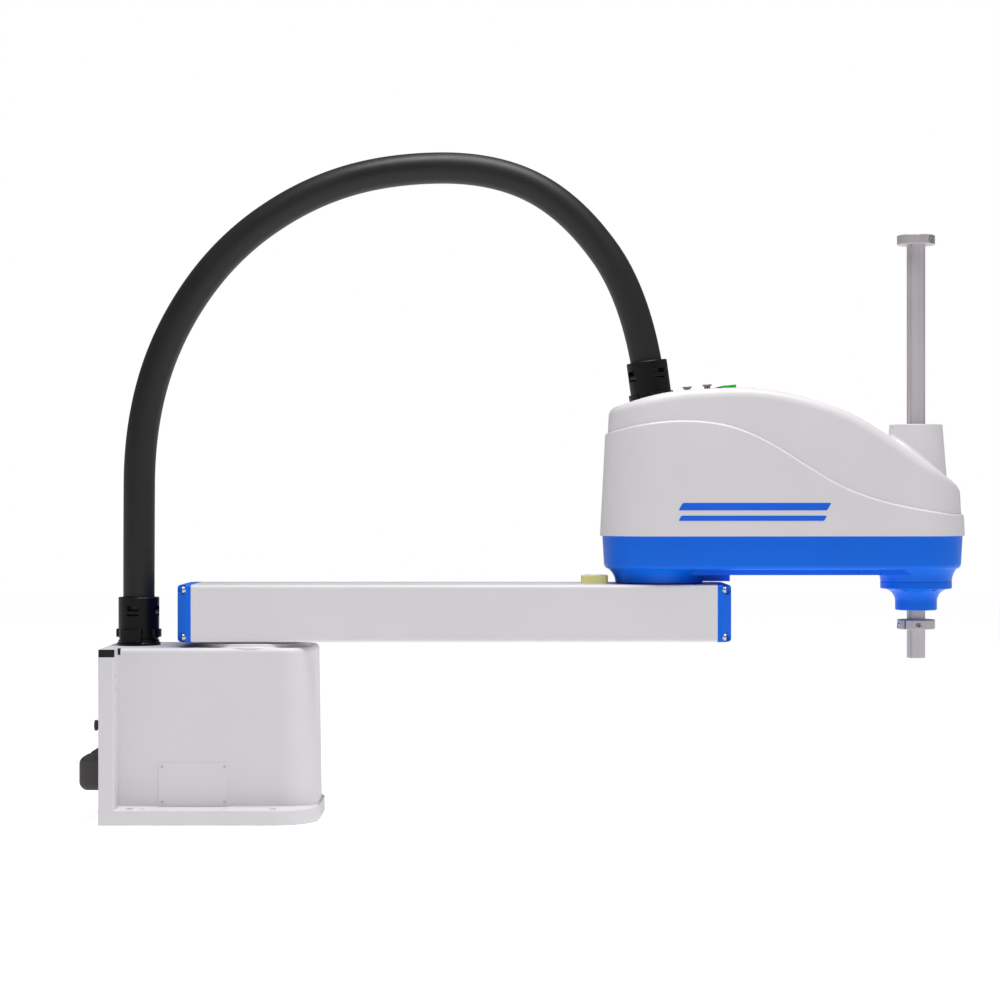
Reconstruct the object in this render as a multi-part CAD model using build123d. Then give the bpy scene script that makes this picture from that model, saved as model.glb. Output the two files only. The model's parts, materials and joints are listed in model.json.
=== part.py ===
from build123d import *
import math
import os

# SCARA robot arm: a base, a long first arm, a short second arm, and a tool shaft that slides and
# turns at its end.
# Frame: millimetres, +Z up, origin on the first joint's axis in the plane of the base's underside,
# +X along the stretched arm towards the tool shaft.

# Driving dimensions
ARM_1 = 550.0               # first joint's axis to second joint's axis
ARM_2 = 350.0               # second joint's axis to tool shaft's axis
ELBOW_X = ARM_1
TOOL_X = ARM_1 + ARM_2

BASE_BACK = -195.7          # back face of the base
PLATE_FRONT = 91.0
PLATE_HALF = 113.0          # half the plate's width
PLATE_THICK = 20.0
BODY_HALF = 80.0            # half the width of the base's housing
BODY_TOP = 231.7
ROOF_THICK = 16.7           # the housing's roof, which carries the first joint
BACK_WALL = 21.0            # thickness of the upright back flange
BOSS_TOP = 236.9            # raised ring under the first arm
FLANGE_HOLE_ZS = (46.0, 179.0, 197.0)
BOLT_SPACING = 190.0        # foundation bolts, both ways
BOLT_CENTRE_X = -62.0
BOLT_R = 5.5
DOWEL_X = -139.0
DOWEL_R = 3.0

BEAM_BACK = -79.0
BEAM_FRONT = 624.0
BEAM_HALF = 70.0
BEAM_BOTTOM = 238.9
BEAM_TOP = 315.7
BEAM_WALL = 8.0
CAP_THICK = 19.0
CAP_CHAMFER = 11.5

HUB_BOTTOM = 317.4          # underside of the second arm's hub
PAD_BOTTOM = 328.1          # underside of the stiffening pad between hub and nose
NOSE_JOINT_Z = 318.6        # where the nose flange meets the casting
SHELL_BOTTOM = 335.6        # underside of the second arm's casting
TRAY_FLOOR = 344.0
SPLIT_Z = 380.5             # where the cover meets the casting
CASTING_R = (77.0, 62.5)    # casting's end radii at the split, elbow and tool
COVER_R = (80.3, 65.5)      # cover's end radii at the split
CASTING_DRAFT = -3.2        # degrees, sides leaning outwards as they rise
COVER_DRAFT = 3.0           # degrees, sides leaning inwards
COVER_STEP = 3.4            # how far the cover steps in above its crease
COVER_WALL = 3.5
CHIMNEY_TOP = 531.7         # collar of the cover round the tool shaft

NOSE_SEAT_Z = 313.5         # where the nose flange's screw heads seat

SHAFT_R = 12.5
SHAFT_BORE_R = 7.0
SHAFT_LOW = 214.1
SHAFT_HIGH = 789.0
COLLAR_R = 25.6
COLLAR_HEIGHT = 13.0
LOW_COLLAR_Z = 253.5
HIGH_COLLAR_Z = 776.0
NOSE_BOTTOM = 279.5
RUNNING = 0.05              # radial clearance of a running fit
EASE = 0.1                  # radial clearance of a screw in its hole

HOSE_R = 21.25
FITTING_BORE_R = 21.5
HOSE_X = -158.0             # where the conduit leaves the base
FITTING_LEAN = 7.9          # degrees that the second arm's conduit fitting leans back
FITTING_TOP = (533.1, 617.3)  # its rim's centre
SOCKET_DEPTH = 30.0         # how far the conduit reaches into each fitting

R_MOTOR_X = 725.0
Z_MOTOR_X = 810.0
NUT_PULLEY_R = 30.0
MOTOR_PULLEY_R = 15.0
R_BELT_Z = 346.0            # underside of the two pulleys that turn the shaft
Z_BELT_Z = 384.0            # underside of the two pulleys that lift the shaft
PULLEY_HEIGHT = 18.0


def fitting_point(depth):
    """The point on the leaning fitting's axis that lies this far below its rim."""
    lean = math.radians(FITTING_LEAN)
    return (FITTING_TOP[0] + depth * math.sin(lean), FITTING_TOP[1] - depth * math.cos(lean))


# Points that the conduit's route turns at, in the X-Z plane
ROUTE = [
    (-158, 267),
    (-158, 378),
    (-157, 526),
    (-121, 652),
    (-45, 765),
    (60, 842),
    (177, 880),
    (325, 882),
    (432, 828),
    fitting_point(-86),
    fitting_point(SOCKET_DEPTH),
]
ROUTE_SPLIT_X = 245.0       # the conduit's highest point, where its two halves meet

parts = {}


# Small builders

def cyl(r, z0, z1, x=0.0, y=0.0):
    solid = Cylinder(r, z1 - z0, align=(Align.CENTER, Align.CENTER, Align.MIN))
    return Pos(x, y, z0) * solid


def block(x0, x1, y0, y1, z0, z1):
    solid = Box(x1 - x0, y1 - y0, z1 - z0, align=(Align.MIN, Align.MIN, Align.MIN))
    return Pos(x0, y0, z0) * solid


def ring(outer, inner, z0, z1, x=0.0, y=0.0):
    return cyl(outer, z0, z1, x, y) - cyl(inner, z0 - 1, z1 + 1, x, y)


def turned(*profile, x=0.0, y=0.0):
    """A solid of revolution about a vertical axis, from (radius, height) corners."""
    face = Plane.XZ * make_face(Polyline(*profile, close=True))
    return Pos(x, y, 0) * revolve(face, Axis.Z)


def group(solids):
    return Compound(children=list(solids))


def around(count, radius, x=0.0, y=0.0, start=0.0):
    """Centres of a ring of fasteners."""
    step = 2 * math.pi / count
    angles = [math.radians(start) + i * step for i in range(count)]
    return [(x + radius * math.cos(a), y + radius * math.sin(a)) for a in angles]


def socket_screw(shank_r, length, head_r, head_height):
    """A socket head cap screw: its head's seat at z = 0, its shank downwards."""
    key = extrude(RegularPolygon(head_r * 0.55, 6), head_height)
    head = cyl(head_r, 0, head_height) - Pos(0, 0, head_height * 0.45) * key
    return head + cyl(shank_r, -length, 0)


def button_screw(shank_r, length, head_r, head_height):
    """A domed socket screw: its head's seat at z = 0, its shank downwards."""
    head = fillet(cyl(head_r, 0, head_height).edges().sort_by(Axis.Z)[-1], head_height * 0.7)
    key = extrude(RegularPolygon(head_r * 0.45, 6), head_height)
    return head - Pos(0, 0, head_height * 0.5) * key + cyl(shank_r, -length, 0)


def across(half, *profile):
    """A solid with this X-Z outline, reaching half to each side of the X-Z plane."""
    near = Plane(origin=(0, half, 0), x_dir=(1, 0, 0), z_dir=(0, -1, 0))
    return extrude(near * make_face(Polyline(*profile, close=True)), 2 * half)


def hull_face(ra, rb, z, xa=ELBOW_X, xb=TOOL_X):
    """The outline that wraps two circles on the X axis, as a belt does."""
    lean = math.acos((ra - rb) / (xb - xa))
    c, s = math.cos(lean), math.sin(lean)
    far_a, far_b = (xa + ra * c, ra * s), (xb + rb * c, rb * s)
    near_a, near_b = (xa + ra * c, -ra * s), (xb + rb * c, -rb * s)
    outline = (
        Line(near_a, near_b)
        + ThreePointArc(near_b, (xb + rb, 0), far_b)
        + Line(far_b, far_a)
        + ThreePointArc(far_a, (xa - ra, 0), near_a)
    )
    return Pos(0, 0, z) * make_face(outline)


def hull_solid(radii, z0, z1, draft=0.0):
    """Solid with such an outline, its sides leaning inwards (or outwards) as it rises."""
    return extrude(hull_face(*radii, z0), z1 - z0, taper=draft)


def end_face(back, front, half, corner, z):
    """A plate outline with a square back and a rounded front."""
    k = corner * (1 - math.sqrt(0.5))
    outline = (
        Line((back, -half), (front - corner, -half))
        + ThreePointArc((front - corner, -half), (front - k, k - half), (front, corner - half))
        + Line((front, corner - half), (front, half - corner))
        + ThreePointArc((front, half - corner), (front - k, half - k), (front - corner, half))
        + Line((front - corner, half), (back, half))
        + Line((back, half), (back, -half))
    )
    return Pos(0, 0, z) * make_face(outline)


def under_curve(points, start_slope, end_slope, floor):
    """Everything below a smooth curve in the X-Z plane, across the whole width."""
    curve = Spline(*points, tangents=[(1, start_slope), (1, end_slope)])
    last, first = points[-1], points[0]
    outline = curve + Polyline(last, (last[0], floor), (first[0], floor), first)
    side = Plane(origin=(0, 120, 0), x_dir=(1, 0, 0), z_dir=(0, -1, 0))
    return extrude(side * make_face(outline), 240)


# Base

def base_casting():
    plate = extrude(end_face(BASE_BACK, PLATE_FRONT, PLATE_HALF, 58, 0), PLATE_THICK)
    plate = fillet(plate.edges().group_by(Axis.Z)[-1].filter_by(
        lambda e: e.center().X > BASE_BACK + 1), 1.5)
    inner_back = BASE_BACK + BACK_WALL
    housing = across(BODY_HALF, (inner_back - 5, PLATE_THICK - 0.5), (88.5, PLATE_THICK - 0.5),
                     (85, BODY_TOP), (inner_back - 5, BODY_TOP))
    front_corners = housing.faces().sort_by(Axis.X)[-1].edges().filter_by(
        lambda e: abs(e.center().Y) > BODY_HALF - 1)
    housing = fillet(front_corners, 44)
    top_edges = housing.edges().group_by(Axis.Z)[-1]
    housing = fillet(top_edges.filter_by(lambda e: e.center().X > inner_back), 6)
    housing -= [Pos(x, -BODY_HALF, z) * Rot(90, 0, 0) * cyl(1.3, -5, 1)
                for x, z in name_plate_places()]
    boss = turned((0, BODY_TOP - 3), (79, BODY_TOP - 3), (79, BODY_TOP), (77, BODY_TOP + 0.6),
                  (75.6, BODY_TOP + 2), (75, BOSS_TOP - 0.8), (74.2, BOSS_TOP), (0, BOSS_TOP))
    skirt = extrude(end_face(inner_back - 5, 90.2, BODY_HALF + 1.8, 45.8, PLATE_THICK), 1.8, taper=45)
    solid = plate + back_flange() + housing + skirt + boss

    roof_z = BODY_TOP - ROOF_THICK
    hollow = extrude(end_face(BASE_BACK + 12, 73, 68, 34, PLATE_THICK + 8), roof_z - PLATE_THICK - 8)
    solid -= hollow
    solid -= block(BASE_BACK - 1, BASE_BACK + 13, -60, 60, 34, 200)
    solid -= block(BASE_BACK - 1, BASE_BACK + 3, -70, 70, 24, 210)
    solid -= cyl(62, BOSS_TOP - 10.9, BOSS_TOP + 1)
    solid -= cyl(50.3, roof_z - 1, BOSS_TOP)
    solid -= cyl(19.2, roof_z - 12, BODY_TOP + 1, HOSE_X)
    holes = [cyl(BOLT_R, -1, PLATE_THICK + 1, x, y) for x, y in foundation_bolts()]
    for side in (-1, 1):
        holes.append(cyl(DOWEL_R, -1, PLATE_THICK + 1, DOWEL_X, side * BOLT_SPACING / 2))
    for x, y in around(8, 56):
        holes.append(cyl(2.5, roof_z + 2, BOSS_TOP, x, y))
    for y, z in panel_screw_places():
        holes.append(Pos(BASE_BACK, y, z) * Rot(0, 90, 0) * cyl(2.1, 0, 14))
    for side in (-1, 1):
        for z in FLANGE_HOLE_ZS:
            holes.append(Pos(inner_back, side * 102, z) * Rot(0, 90, 0) * cyl(3, -9, 1))
    return solid - holes - corner_plugs()


def back_flange():
    flange = block(BASE_BACK, BASE_BACK + BACK_WALL, -PLATE_HALF, PLATE_HALF, 0, BODY_TOP)
    return fillet(flange.edges().filter_by(Axis.Z), 2)


def foundation_bolts():
    half = BOLT_SPACING / 2
    return [(BOLT_CENTRE_X + a * half, b * half) for a in (-1, 1) for b in (-1, 1)]


def panel_screw_places():
    return [(y, z) for y in (-65, 0, 65) for z in (29, 205)] + [(y, 117) for y in (-65, 65)]


def corner_plugs():
    """Plastic plugs let into the top corners of the back flange and of the housing."""
    flange = back_flange()
    front = BASE_BACK + BACK_WALL
    plugs = []
    for side in (-1, 1):
        y0, y1 = sorted((side * (PLATE_HALF - 4), side * PLATE_HALF))
        plugs.append(flange & block(BASE_BACK, front, y0, y1, 221.7, BODY_TOP))
        y0, y1 = sorted((side * (BODY_HALF - 4), side * BODY_HALF))
        plugs.append(block(front, front + 3.4, y0, y1, BODY_TOP - 8.8, BODY_TOP))
    return plugs


NAME_PLATE_X = (-120.5, -27.5)
NAME_PLATE_Z = (22.0, 80.0)


def name_plate_places():
    xs = (NAME_PLATE_X[0] + 5, NAME_PLATE_X[1] - 5)
    zs = (NAME_PLATE_Z[0] + 5.5, NAME_PLATE_Z[1] - 5.5)
    return [(x, z) for x in xs for z in zs]


def name_plate():
    x0, x1 = NAME_PLATE_X
    z0, z1 = NAME_PLATE_Z
    plate = block(x0, x1, -BODY_HALF - 0.8, -BODY_HALF, z0, z1)
    plate = fillet(plate.edges().filter_by(Axis.Y), 3)
    for x, z in name_plate_places():
        plate -= Pos(x, -BODY_HALF, z) * Rot(90, 0, 0) * cyl(1.3, -1, 2)
    return plate


def rivets():
    rivet = cyl(1.2, -3, 0.8) + fillet(cyl(1.9, 0.8, 1.6).edges().sort_by(Axis.Z)[-1], 0.6)
    return group(Pos(x, -BODY_HALF, z) * Rot(90, 0, 0) * rivet for x, z in name_plate_places())


def rear_panel():
    panel = block(BASE_BACK + 0.2, BASE_BACK + 3, -69.7, 69.7, 24.3, 209.7)
    panel = fillet(panel.edges().filter_by(Axis.X), 4)
    for y, z in panel_screw_places():
        panel -= Pos(BASE_BACK, y, z) * Rot(0, 90, 0) * cyl(2.2, -1, 4)
        panel -= Pos(BASE_BACK, y, z) * Rot(0, 90, 0) * cyl(4.2, -1, 1.2)
    for y in FITTING_YS:
        panel -= Pos(BASE_BACK, y, FITTING_Z) * Rot(0, 90, 0) * cyl(5.2, -1, 4)
    for y in HOOD_YS:
        panel -= block(BASE_BACK - 1, BASE_BACK + 4, y - 15, y + 15, HOOD_Z[0] + 9, HOOD_Z[1] - 9)
    return panel


FITTING_YS = (-38.0, 38.0)
FITTING_Z = 125.7
COLLAR_Z = (12.4, 16.7)       # the release collar's ends above the fitting's seat
HOOD_YS = (-40.0, 40.0)
HOOD_Z = (40.2, 87.0)
HOOD_DEPTH = 34.7
HOOD_HALF = 24.0


def rear_screws():
    screw = socket_screw(2.0, 8, 4.0, 0.9)
    return group(Pos(BASE_BACK + 1.2, y, z) * Rot(0, -90, 0) * screw
                 for y, z in panel_screw_places())


def connector_hood(y):
    """Rounded hood over a heavy-duty connector, with its two locking levers' pins."""
    back = BASE_BACK - HOOD_DEPTH
    hood = block(back, BASE_BACK + 0.2, y - HOOD_HALF, y + HOOD_HALF, *HOOD_Z)
    hood = fillet(hood.edges().filter_by(Axis.X), 9)
    hood = fillet(hood.edges().group_by(Axis.X)[0], 12)
    insert = block(BASE_BACK + 0.2, BASE_BACK + 14, y - 14.8, y + 14.8, HOOD_Z[0] + 9.2, HOOD_Z[1] - 9.2)
    return hood + insert


def air_fitting():
    """Push-in bulkhead fitting along +Z, its flange's seat at z = 0, with a round release collar on top."""
    flange = fillet(cyl(7.6, 0, 3.0).edges().sort_by(Axis.Z)[-1], 0.8)
    collar = fillet(cyl(7.4, COLLAR_Z[0], COLLAR_Z[1]).edges(), 1.4)
    body = cyl(5.0, -12, COLLAR_Z[0] + 1)
    return flange + body + collar - cyl(3.0, -13, COLLAR_Z[1] + 1)


def base_air_fittings():
    return group(Pos(BASE_BACK + 0.2, y, FITTING_Z) * Rot(0, -90, 0) * air_fitting()
                 for y in FITTING_YS)


def servo_motor(half, z0, z1, cap_r, cap_height, x=0.0, shaft_down=False):
    """Square servo motor with a round encoder cap, closed, its shaft end opposite the cap."""
    body = block(x - half, x + half, -half, half, z0, z1)
    body = chamfer(body.edges().filter_by(Axis.Z), half * 0.18)
    if shaft_down:
        return body + cyl(cap_r, z1, z1 + cap_height, x)
    return body + cyl(cap_r, z0 - cap_height, z0, x)


def reducer_housing(z_flange, flange_r, flange_height, body_top, body_bottom, x=0.0):
    """Strain-wave reducer: a mounting flange, a round body and the seat of its output bearing."""
    body = cyl(flange_r, z_flange, z_flange + flange_height, x) + cyl(50, body_bottom, body_top, x)
    return body


parts["base_casting"] = base_casting()
parts["flange_corner_plugs"] = group(corner_plugs())
parts["base_name_plate"] = name_plate()
parts["name_plate_rivets"] = rivets()
parts["rear_panel"] = rear_panel()
parts["rear_panel_screws"] = rear_screws()
parts["power_connector_hood"] = connector_hood(HOOD_YS[0])
parts["signal_connector_hood"] = connector_hood(HOOD_YS[1])
parts["base_air_fittings"] = base_air_fittings()


# First joint: a motor hangs in the housing under a strain-wave reducer let into the roof

J1_FLANGE_Z = BOSS_TOP - 10.9
J1_FLANGE_TOP = J1_FLANGE_Z + 8
HUB_R = 34.0
BEARING_R = 41.0


def j1_housing():
    solid = reducer_housing(J1_FLANGE_Z, 61.8, 8, J1_FLANGE_TOP, 190)
    solid -= cyl(BEARING_R, 212, J1_FLANGE_TOP + 1)
    solid -= cyl(28, 196, 213)
    for x, y in around(8, 56):
        solid -= cyl(2.5 + EASE, J1_FLANGE_Z - 1, J1_FLANGE_TOP + 1, x, y)
        solid -= cyl(4.4, J1_FLANGE_TOP - 5.2, J1_FLANGE_TOP + 1, x, y)
    return solid


def screw_ring(screw, count, radius, z, x=0.0, down=False, start=0.0):
    turn = Rot(180, 0, 0) if down else Rot(0, 0, 0)
    return [Pos(a, b, z) * turn * screw for a, b in around(count, radius, x, start=start)]


def bearing_ring(outer, inner, z0, z1, x=0.0):
    body = ring(outer, inner, z0, z1, x)
    return chamfer(body.edges().filter_by(GeomType.CIRCLE), 0.6)


parts["j1_motor"] = servo_motor(40, 88, 189.8, 36, 26)
parts["j1_reducer_housing"] = j1_housing()
parts["j1_bearing"] = bearing_ring(BEARING_R - 0.02, HUB_R, 216, 231)
parts["j1_reducer_screws"] = group(
    screw_ring(socket_screw(2.4, 9, 4.2, 4.8), 8, 56, J1_FLANGE_TOP - 5.2))


# First arm: an extruded box beam with a cast cap at each end

FLANGE_SCREW_R = 40.0       # screw circle of both joints' output flanges
CAP_SCREW_Y = 64.5
CAP_SCREW_ZS = (BEAM_BOTTOM + 6.9, BEAM_TOP - 6.9)


def beam():
    middle = (BEAM_BOTTOM + BEAM_TOP) / 2
    height = BEAM_TOP - BEAM_BOTTOM
    section = RectangleRounded(2 * BEAM_HALF, height, 5)
    cell_width = (2 * (BEAM_HALF - BEAM_WALL) - 2 * 5) / 3
    cell = RectangleRounded(cell_width, height - 2 * BEAM_WALL, 5)
    for i in (-1, 0, 1):
        section -= Pos(i * (cell_width + 5), 0) * cell
    lengthwise = Plane(origin=(BEAM_BACK, 0, middle), x_dir=(0, 1, 0), z_dir=(1, 0, 0))
    solid = extrude(lengthwise * section, BEAM_FRONT - BEAM_BACK)
    for x, y in around(6, FLANGE_SCREW_R):
        solid -= cyl(3 + EASE, BEAM_BOTTOM - 1, BEAM_BOTTOM + BEAM_WALL + 1, x, y)
    for x, y in around(6, FLANGE_SCREW_R, ELBOW_X):
        solid -= cyl(3 + EASE, BEAM_TOP - BEAM_WALL - 1, BEAM_TOP + 1, x, y)
    for x in BUMPER_SCREW_XS:
        solid -= cyl(2.6, BEAM_TOP - 7, BEAM_TOP + 1, x)
    for x, turn in ((BEAM_BACK, 90), (BEAM_FRONT, -90)):
        for y in (-CAP_SCREW_Y, CAP_SCREW_Y):
            for z in CAP_SCREW_ZS:
                solid -= Pos(x, y, z) * Rot(0, turn, 0) * cyl(3 + EASE, -1, 16)
    return solid


def end_cap(face_x, outward):
    """Cast end cap: chamfered outer corners, with a screw sunk into each corner."""
    x0, x1 = sorted((face_x, face_x + outward * CAP_THICK))
    cap = block(x0, x1, -BEAM_HALF, BEAM_HALF, BEAM_BOTTOM, BEAM_TOP)
    outer = cap.faces().sort_by(Axis.X)[-1 if outward > 0 else 0]
    cap = chamfer(outer.edges().filter_by(Axis.Z), CAP_CHAMFER)
    rims = cap.faces().sort_by(Axis.Z)[-1].edges() + cap.faces().sort_by(Axis.Z)[0].edges()
    cap = fillet(rims.filter_by(lambda e: abs(e.center().X - face_x) > 1), 4.5)
    seat = face_x + outward * 6.5
    turn = 90 * outward
    for y in (-CAP_SCREW_Y, CAP_SCREW_Y):
        for z in CAP_SCREW_ZS:
            cap -= Pos(seat, y, z) * Rot(0, turn, 0) * cyl(6.2, 0, 30)
            cap -= Pos(seat, y, z) * Rot(0, turn, 0) * cyl(3 + EASE, -8, 1)
    return cap


def end_cap_screws():
    screw = socket_screw(2.9, 18, 5.0, 5.0)
    placed = []
    for face_x, outward in ((BEAM_BACK, -1), (BEAM_FRONT, 1)):
        for y in (-CAP_SCREW_Y, CAP_SCREW_Y):
            for z in CAP_SCREW_ZS:
                placed.append(Pos(face_x + outward * 6.5, y, z) * Rot(0, 90 * outward, 0) * screw)
    return group(placed)


def output_flange(seat_z, far_z, hub_z, x, upward):
    """Output flange of a reducer: a disc bolted to the beam and a hub turning in the bearing."""
    low, high = sorted((seat_z, far_z))
    disc = cyl(60 if upward else 50, low, high, x)
    h0, h1 = sorted((far_z, hub_z))
    solid = disc + cyl(HUB_R - RUNNING, h0, h1, x)
    for a, b in around(6, FLANGE_SCREW_R, x):
        solid -= cyl(2.9, low - 1, high + 1, a, b)
    return solid


BUMPER_X = (444.3, 479.9)
BUMPER_HALF = 18.0
BUMPER_TOP = 326.8
BUMPER_SCREW_XS = (453.0, 469.5)


def bumper():
    pad = block(*BUMPER_X, -BUMPER_HALF, BUMPER_HALF, BEAM_TOP, BUMPER_TOP)
    pad = fillet(pad.edges().filter_by(Axis.Z), 4)
    pad = fillet(pad.faces().sort_by(Axis.Z)[-1].edges(), 0.8)
    for x in BUMPER_SCREW_XS:
        pad -= cyl(5.2, BUMPER_TOP - 2.2, BUMPER_TOP + 1, x)
        pad -= cyl(2.6, BEAM_TOP - 1, BUMPER_TOP, x)
    return pad


parts["arm1_beam"] = beam()
parts["arm1_rear_cap"] = end_cap(BEAM_BACK, -1)
parts["arm1_front_cap"] = end_cap(BEAM_FRONT, 1)
parts["end_cap_screws"] = end_cap_screws()
parts["j1_output_flange"] = output_flange(BEAM_BOTTOM, 235.0, 214, 0.0, True)
parts["j2_output_flange"] = output_flange(BEAM_TOP, 322.0, 346, ELBOW_X, False)
parts["joint_flange_screws"] = group(
    screw_ring(socket_screw(2.8, 11.5, 5.0, 5.5), 6, FLANGE_SCREW_R, BEAM_BOTTOM + BEAM_WALL)
    + screw_ring(socket_screw(2.8, 13.5, 5.0, 5.5), 6, FLANGE_SCREW_R, BEAM_TOP - BEAM_WALL,
                 ELBOW_X, down=True))
parts["arm2_stop_bumper"] = bumper()
parts["bumper_screws"] = group(
    Pos(x, 0, BUMPER_TOP - 2.2) * button_screw(2.5, 14, 4.7, 2.9) for x in BUMPER_SCREW_XS)


# Second arm: a cast tray with a hub under the elbow and a nose under the tool shaft

def hub_outside():
    profile = (
        Polyline((0, 340), (0, HUB_BOTTOM), (59.3, HUB_BOTTOM))
        + ThreePointArc((59.3, HUB_BOTTOM), (62.2, 327.6), (69.2, SHELL_BOTTOM))
        + Polyline((69.2, SHELL_BOTTOM), (69.2, 340), (0, 340))
    )
    return Pos(ELBOW_X, 0, 0) * revolve(Plane.XZ * make_face(profile), Axis.Z)


def nose_outside():
    profile = (
        Polyline((0, 340), (0, NOSE_JOINT_Z), (47.7, NOSE_JOINT_Z), (48.2, NOSE_JOINT_Z + 0.6))
        + ThreePointArc((48.2, NOSE_JOINT_Z + 0.6), (50.1, 328.2), (55.6, SHELL_BOTTOM + 1.4))
        + Polyline((55.6, SHELL_BOTTOM + 1.4), (55.6, 340), (0, 340))
    )
    return Pos(TOOL_X, 0, 0) * revolve(Plane.XZ * make_face(profile), Axis.Z)


POST_PLACES = [
    (694, -28, 368), (694, 28, 368), (756, -28, 368), (756, 28, 368),
    (785, -31, 408), (785, 31, 408), (922, -38, 408), (922, 38, 408),
]
COVER_POST_X = 673.0
COVER_POST_Y = 30.0
COVER_SEAT_Z = 578.3


def arm2_body():
    low = tuple(r - 2.5 for r in CASTING_R)
    shell = hull_solid(low, SHELL_BOTTOM, SPLIT_Z, CASTING_DRAFT)
    shell = fillet(shell.edges().group_by(Axis.Z)[0], 7)
    pad = hull_solid((50, 48), PAD_BOTTOM, SHELL_BOTTOM + 1)
    solid = shell + pad + hub_outside() + nose_outside()
    inner = tuple(r - 6 for r in CASTING_R)
    solid -= hull_solid(inner, TRAY_FLOOR, SPLIT_Z + 1)
    solid -= cyl(51, HUB_BOTTOM - 1, TRAY_FLOOR + 1, ELBOW_X)
    solid -= cyl(34.2, NOSE_JOINT_Z - 1, TRAY_FLOOR + 1, TOOL_X)
    solid -= cyl(58.2, HUB_BOTTOM - 1, HUB_BOTTOM, ELBOW_X)
    for x, y, top in POST_PLACES:
        solid += cyl(5, TRAY_FLOOR - 2, top, x, y)
    for side in (-1, 1):
        solid += cyl(6, TRAY_FLOOR - 2, 372, COVER_POST_X, side * COVER_POST_Y)
    for x, y in around(8, 56, ELBOW_X):
        solid -= cyl(2.5, HUB_BOTTOM + 12, TRAY_FLOOR + 1, x, y)
    for x, y in around(6, 40.5, TOOL_X):
        solid -= cyl(2.1, NOSE_JOINT_Z - 1, PAD_BOTTOM + 12, x, y)
    for x in (815.0, 845.0):
        for side in (-1, 1):
            solid -= block(x - 0.6, x + 0.6, side * 49 - 4, side * 49 + 4, PAD_BOTTOM - 1, PAD_BOTTOM + 4)
    return solid


def nose_flange():
    """Flange under the nose: a ring, then a concave neck round the lower bearings."""
    top = NOSE_JOINT_Z
    outside = (
        Polyline((0, top), (0, NOSE_BOTTOM), (27.2, NOSE_BOTTOM), (28.2, NOSE_BOTTOM + 1), (28.2, 291))
        + ThreePointArc((28.2, 291), (33.2, 303.4), (45.4, 308.6))
        + Polyline((45.4, 308.6), (47.6, 308.8), (48.2, 309.6), (48.2, top - 0.6), (47.7, top), (0, top))
    )
    solid = Pos(TOOL_X, 0, 0) * revolve(Plane.XZ * make_face(outside), Axis.Z)
    solid += ring(34, 20, top - 1, TRAY_FLOOR - 1, TOOL_X)
    solid -= cyl(22, 285, 350, TOOL_X)
    solid -= cyl(15, NOSE_BOTTOM - 1, 290, TOOL_X)
    for x, y in around(6, 40.5, TOOL_X):
        solid -= cyl(2.2, 300, top + 1, x, y)
        solid -= cyl(4.2, 295, NOSE_SEAT_Z, x, y)
    return solid


def cover_top_points(drop):
    heights = [(455, 543), (505, 560), (563, 574.2), (620, 578.9), (665, 579.6), (718, 573.1),
               (772, 558.8), (816, 540.2), (860, 512.6), (905, 481.5), (975, 432)]
    return [(x, z - drop) for x, z in heights]


def cover_crease_points(drop):
    heights = [(455, 513), (515, 528.5), (590, 535.2), (650, 525.5), (707, 498.7), (783, 452.2),
               (860, 424.2), (930, 411.5), (985, 409)]
    return [(x, z - drop) for x, z in heights]


def cover_form(inset, skirt_round, top_round):
    """Cover's outside when inset is 0, and its inside when inset is the wall."""
    skirt = hull_solid(tuple(r - inset for r in COVER_R), SPLIT_Z, 560, COVER_DRAFT)
    skirt &= under_curve(cover_crease_points(inset), 0.28, -0.02, SPLIT_Z - 1)
    if skirt_round:
        skirt = fillet(skirt.faces().sort_by(Axis.Z)[-1].edges(), skirt_round)
    radii = tuple(r - inset - COVER_STEP for r in COVER_R)
    upper = hull_solid(radii, SPLIT_Z, 600, COVER_DRAFT)
    upper &= under_curve(cover_top_points(inset * 1.1), 0.36, -0.75, SPLIT_Z - 1)
    upper = fillet(upper.faces().sort_by(Axis.Z)[-1].edges(), top_round)
    return skirt + upper


def cover_pocket_axis(depth, length):
    """Placement along the leaning fitting's axis, depth below the fitting's top rim."""
    x, z = fitting_point(depth)
    return Pos(x, 0, z) * Rot(0, -FITTING_LEAN, 0) * Pos(0, 0, -length)


def arm2_cover(outside):
    chimney = turned((0, 430), (43.5, 430), (35.5, CHIMNEY_TOP), (0, CHIMNEY_TOP), x=TOOL_X)
    chimney = fillet(chimney.edges().sort_by(Axis.Z)[-1], 1.5)
    solid = outside + chimney
    curves = solid.edges().filter_by(GeomType.BSPLINE)
    solid = fillet(curves.filter_by(
        lambda e: math.hypot((e @ 0.3).X - TOOL_X, (e @ 0.3).Y) < 44), 6)
    solid -= cover_form(COVER_WALL, 0, 7)
    solid -= turned((0, 420), (40.5, 420), (32.0, CHIMNEY_TOP - 4), (0, CHIMNEY_TOP - 4), x=TOOL_X)
    socket = cover_pocket_axis(0, 70) * Cylinder(34.5, 70, align=(Align.CENTER, Align.CENTER, Align.MIN))
    solid += socket & outside
    solid -= cover_pocket_axis(-40, 105.3) * cyl(32.0, 0, 105.3)
    solid -= cover_pocket_axis(0, 80) * cyl(19.2, 0, 80)
    solid -= cyl(14.5, CHIMNEY_TOP - 10, CHIMNEY_TOP + 1, TOOL_X)
    solid -= block(ROCKER_X[0], ROCKER_X[1], -8.5, 8.5, 565, 590)
    for x in AIR_XS:
        solid -= cyl(4.3, 565, 590, x)
    for side in (-1, 1):
        solid -= cyl(2.2, 565, 590, COVER_POST_X, side * COVER_POST_Y)
        solid -= cyl(4.9, COVER_SEAT_Z, 590, COVER_POST_X, side * COVER_POST_Y)
    return solid


ROCKER_X = (633.0, 657.4)
AIR_XS = (588.9, 616.0)


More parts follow.
